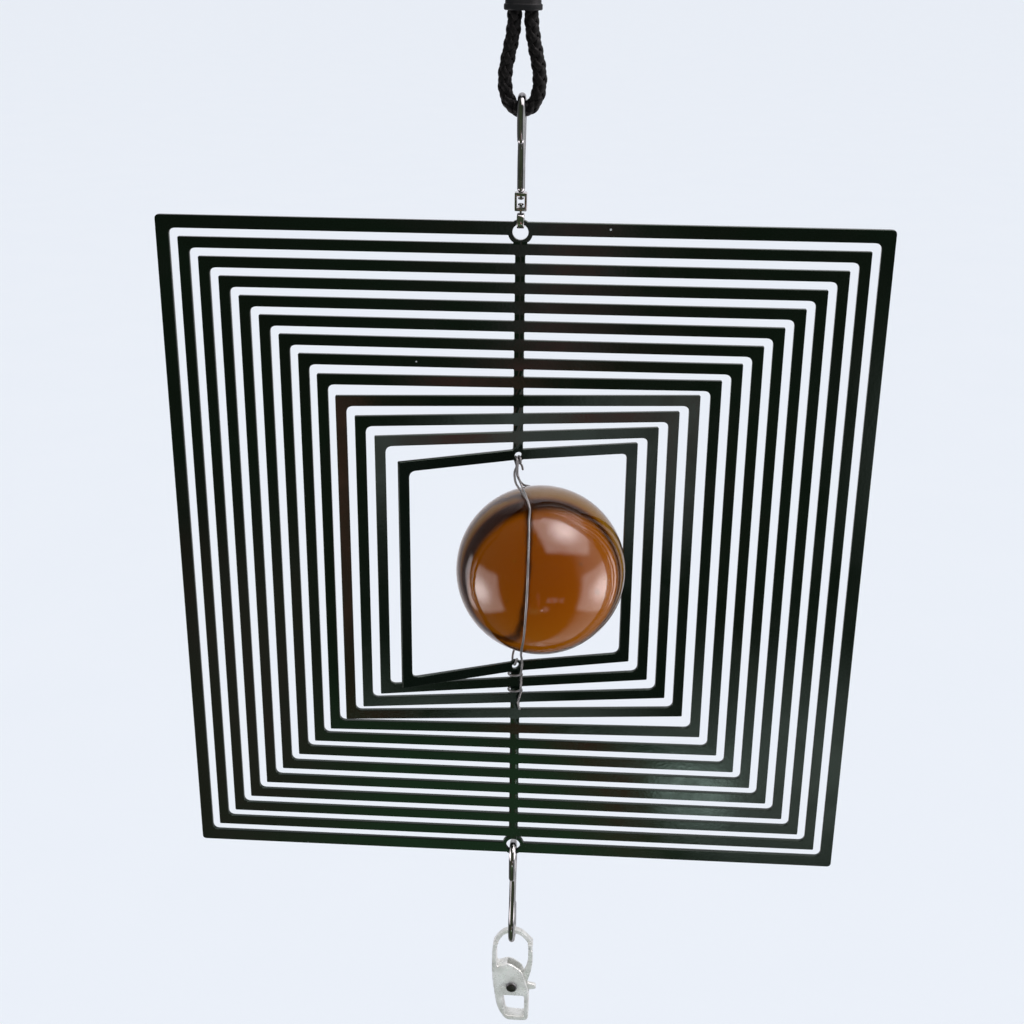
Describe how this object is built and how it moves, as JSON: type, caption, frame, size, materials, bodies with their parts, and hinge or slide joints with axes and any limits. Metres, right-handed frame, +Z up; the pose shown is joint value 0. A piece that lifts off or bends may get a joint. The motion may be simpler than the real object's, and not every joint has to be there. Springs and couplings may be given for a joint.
{
  "type": "wind spinner",
  "caption": "Hanging square wind spinner: nested square frames cut from one sheet, twisted about a vertical spine, round an amber glass ball in a wire cage, with swivel and hooks",
  "frame": {"origin": "inside of the top of the hanging eye, where the spinner hangs on its hook", "axes": "+Z up, the sheet lies in the XZ plane and its face looks along -Y, +X is to the right when it is seen from the front"},
  "size_m": [0.1524, 0.0393, 0.2649],
  "materials": {
    "sheet": "glossy green-black coated steel sheet with laser-cut edges",
    "hook_steel": "bright plated steel wire",
    "cage_wire": "thin drawn steel wire",
    "clasp_metal": "bright plated cast clasp",
    "ferrule": "moulded black plastic with a fine grain",
    "cord": "braided black cord with a few brown-grey strands",
    "glass": "solid amber glass, polished, with small seeds"
  },
  "bodies": {
    "hanger": {"hanging_eye": "hook_steel", "ferrule": "ferrule", "cord_loop": "cord"},
    "upper_hook": {"upper_hook": "hook_steel"},
    "swivel_frame": {"swivel_frame": "hook_steel"},
    "swivel_eye": {"swivel_eye": "hook_steel"},
    "ring_01": {"ring_01": "sheet"},
    "ring_02": {"ring_02": "sheet"},
    "ring_03": {"ring_03": "sheet"},
    "ring_04": {"ring_04": "sheet"},
    "ring_05": {"ring_05": "sheet"},
    "ring_06": {"ring_06": "sheet"},
    "ring_07": {"ring_07": "sheet"},
    "ring_08": {"ring_08": "sheet"},
    "ring_09": {"ring_09": "sheet"},
    "ring_10": {"ring_10": "sheet"},
    "ring_11": {"ring_11": "sheet"},
    "ring_12": {"ring_12": "sheet"},
    "ring_13": {"ring_13": "sheet"},
    "ball_cage": {"cage_wire_front": "cage_wire", "cage_wire_back": "cage_wire"},
    "ball": {"glass_ball": "glass"},
    "lower_hook": {"lower_hook": "hook_steel"},
    "clasp": {"clasp_body": "clasp_metal", "clasp_pin": "clasp_metal", "clasp_spring": "clasp_metal"},
    "clasp_gate": {"clasp_gate": "clasp_metal"}
  },
  "joints": [
    {"name": "hook_swing", "type": "hinge", "parent": "hanger", "child": "upper_hook", "pos_m": [0, 0, -0.0392], "axis": [1, 0, 0], "range_deg": [-25, 25]},
    {"name": "frame_spin", "type": "hinge", "parent": "upper_hook", "child": "swivel_frame", "pos_m": [0, 0, -0.0562], "axis": [0, 0, 1], "continuous": true},
    {"name": "eye_spin", "type": "hinge", "parent": "swivel_frame", "child": "swivel_eye", "pos_m": [0, 0, -0.0584], "axis": [0, 0, 1], "continuous": true},
    {"name": "sheet_swing", "type": "hinge", "parent": "swivel_eye", "child": "ring_01", "pos_m": [0, 0, -0.0625], "axis": [0, 1, 0], "range_deg": [-12, 12]},
    {"name": "twist_02", "type": "hinge", "parent": "ring_01", "child": "ring_02", "pos_m": [0, 0, -0.1376], "axis": [0, 0, 1], "range_deg": [-15, 15]},
    {"name": "twist_03", "type": "hinge", "parent": "ring_02", "child": "ring_03", "pos_m": [0, 0, -0.1376], "axis": [0, 0, 1], "range_deg": [-15, 15]},
    {"name": "twist_04", "type": "hinge", "parent": "ring_03", "child": "ring_04", "pos_m": [0, 0, -0.1376], "axis": [0, 0, 1], "range_deg": [-15, 15]},
    {"name": "twist_05", "type": "hinge", "parent": "ring_04", "child": "ring_05", "pos_m": [0, 0, -0.1376], "axis": [0, 0, 1], "range_deg": [-15, 15]},
    {"name": "twist_06", "type": "hinge", "parent": "ring_05", "child": "ring_06", "pos_m": [0, 0, -0.1376], "axis": [0, 0, 1], "range_deg": [-15, 15]},
    {"name": "twist_07", "type": "hinge", "parent": "ring_06", "child": "ring_07", "pos_m": [0, 0, -0.1376], "axis": [0, 0, 1], "range_deg": [-15, 15]},
    {"name": "twist_08", "type": "hinge", "parent": "ring_07", "child": "ring_08", "pos_m": [0, 0, -0.1376], "axis": [0, 0, 1], "range_deg": [-15.5, 14.5]},
    {"name": "twist_09", "type": "hinge", "parent": "ring_08", "child": "ring_09", "pos_m": [0, 0, -0.1376], "axis": [0, 0, 1], "range_deg": [-16.5, 13.5]},
    {"name": "twist_10", "type": "hinge", "parent": "ring_09", "child": "ring_10", "pos_m": [0, 0, -0.1376], "axis": [0, 0, 1], "range_deg": [-18.5, 11.5]},
    {"name": "twist_11", "type": "hinge", "parent": "ring_10", "child": "ring_11", "pos_m": [0, 0, -0.1376], "axis": [0, 0, 1], "range_deg": [-17.5, 12.5]},
    {"name": "twist_12", "type": "hinge", "parent": "ring_11", "child": "ring_12", "pos_m": [0, 0, -0.1376], "axis": [0, 0, 1], "range_deg": [-18, 12]},
    {"name": "twist_13", "type": "hinge", "parent": "ring_12", "child": "ring_13", "pos_m": [0, 0, -0.1376], "axis": [0, 0, 1], "range_deg": [-23, 7]},
    {"name": "cage_turn", "type": "hinge", "parent": "ring_13", "child": "ball_cage", "pos_m": [0, 0, -0.1376], "axis": [0, 0, 1], "range_deg": [-5, 2]},
    {"name": "ball_turn", "type": "hinge", "parent": "ball_cage", "child": "ball", "pos_m": [0.0054, 0.0009, -0.1394], "axis": [0, 0, 1], "continuous": true},
    {"name": "lower_hook_swing", "type": "hinge", "parent": "ring_01", "child": "lower_hook", "pos_m": [0, 0, -0.21175], "axis": [0, 1, 0], "range_deg": [-25, 25]},
    {"name": "clasp_swing", "type": "hinge", "parent": "lower_hook", "child": "clasp", "pos_m": [0, 0, -0.2369], "axis": [1, 0, 0], "range_deg": [-20, 20]},
    {"name": "gate_open", "type": "hinge", "parent": "clasp", "child": "clasp_gate", "pos_m": [0.0001, 0, -0.2528], "axis": [0, 1, 0], "range_deg": [-20, 0], "stiffness_Nm_per_rad": 0.004, "springref_deg": 17.19}
  ]
}
